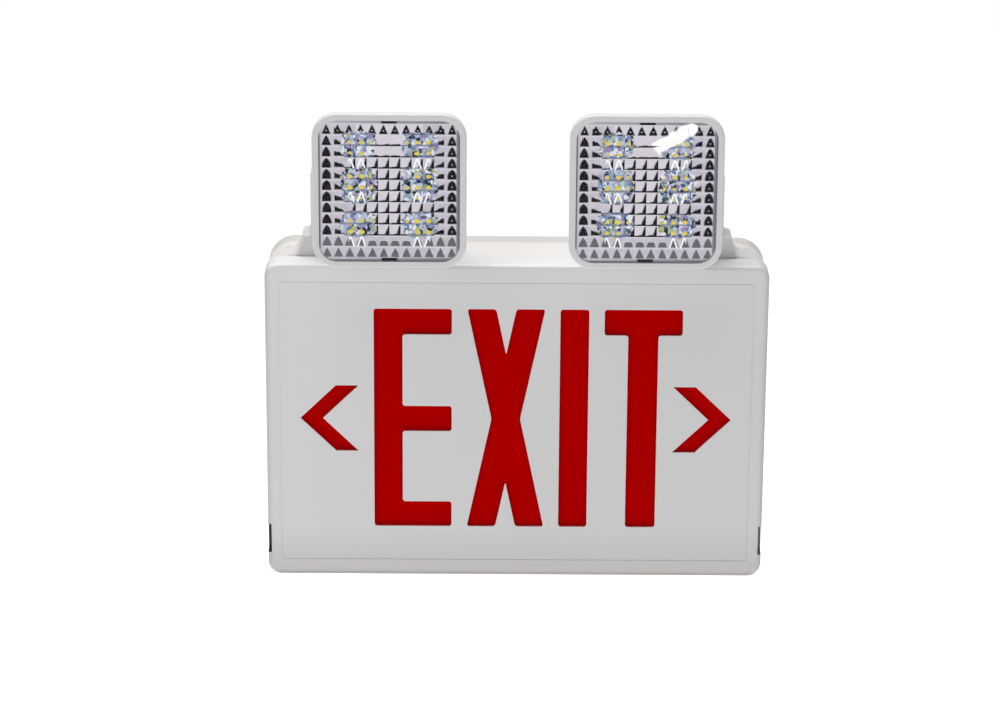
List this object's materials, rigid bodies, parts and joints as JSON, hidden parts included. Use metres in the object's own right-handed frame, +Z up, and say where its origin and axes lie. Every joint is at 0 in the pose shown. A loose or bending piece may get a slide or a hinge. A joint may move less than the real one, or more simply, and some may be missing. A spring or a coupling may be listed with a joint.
{
  "type": "emergency exit light",
  "caption": "Wall-mounted white exit sign with a red-lit word and square lamp heads on arms that swing from its upper corners.",
  "frame": {"origin": "on the wall plane, midway between the two box screw holes in the back plate", "axes": "X to the reader's right, Y into the wall, Z up"},
  "size_m": [0.3268, 0.08, 0.328],
  "materials": {
    "white_plastic": "white moulded thermoplastic, fine satin",
    "red_panel": "translucent red diffuser, lit from behind",
    "board": "green circuit board",
    "white_board": "white solder mask",
    "red_led": "red LED packages",
    "white_led": "yellow phosphor LED packages",
    "core": "varnished iron core and taped winding",
    "terminal": "terminal block body",
    "battery_sleeve": "shrink sleeve over cells",
    "steel": "zinc-plated steel",
    "button": "light grey push button",
    "indicator": "green indicator lens",
    "clear_lens": "clear prismatic polycarbonate"
  },
  "bodies": {
    "housing": {"back_plate": "white_plastic", "rear_housing": "white_plastic", "front_cover": "white_plastic", "red_diffuser": "red_panel", "sign_led_board": "board", "sign_leds": "red_led", "charger_board": "board", "transformer": "core", "terminal_block": "terminal", "battery_pack": "battery_sleeve", "case_screws": "steel", "charge_indicator": "indicator", "left_pivot_screw": "steel", "left_friction_washer": "steel", "right_pivot_screw": "steel", "right_friction_washer": "steel"},
    "left_arm": {"left_arm_front": "white_plastic", "left_arm_rear": "white_plastic", "left_arm_screws": "steel", "left_tilt_pin": "steel"},
    "left_head": {"left_head_shell": "white_plastic", "left_lens": "clear_lens", "left_head_led_board": "white_board", "left_head_leds": "white_led"},
    "right_arm": {"right_arm_front": "white_plastic", "right_arm_rear": "white_plastic", "right_arm_screws": "steel", "right_tilt_pin": "steel"},
    "right_head": {"right_head_shell": "white_plastic", "right_lens": "clear_lens", "right_head_led_board": "white_board", "right_head_leds": "white_led"},
    "test_button": {"test_button": "button"}
  },
  "joints": [
    {"name": "left_arm_swing", "type": "hinge", "parent": "housing", "child": "left_arm", "pos_m": [-0.15, -0.033, 0.0955], "axis": [0, -1, 0], "range_deg": [0, 180]},
    {"name": "left_head_tilt", "type": "hinge", "parent": "left_arm", "child": "left_head", "pos_m": [-0.0818, -0.0475, 0.1647], "axis": [1, 0, 0], "range_deg": [-20, 10]},
    {"name": "right_arm_swing", "type": "hinge", "parent": "housing", "child": "right_arm", "pos_m": [0.15, -0.033, 0.0955], "axis": [0, 1, 0], "range_deg": [0, 180]},
    {"name": "right_head_tilt", "type": "hinge", "parent": "right_arm", "child": "right_head", "pos_m": [0.0818, -0.0475, 0.1647], "axis": [1, 0, 0], "range_deg": [-20, 10]},
    {"name": "test_button_press", "type": "slide", "parent": "housing", "child": "test_button", "axis": [0, 0, 1], "range_m": [0, 0.0015], "stiffness_N_per_m": 400, "springref_m": -0.002}
  ]
}
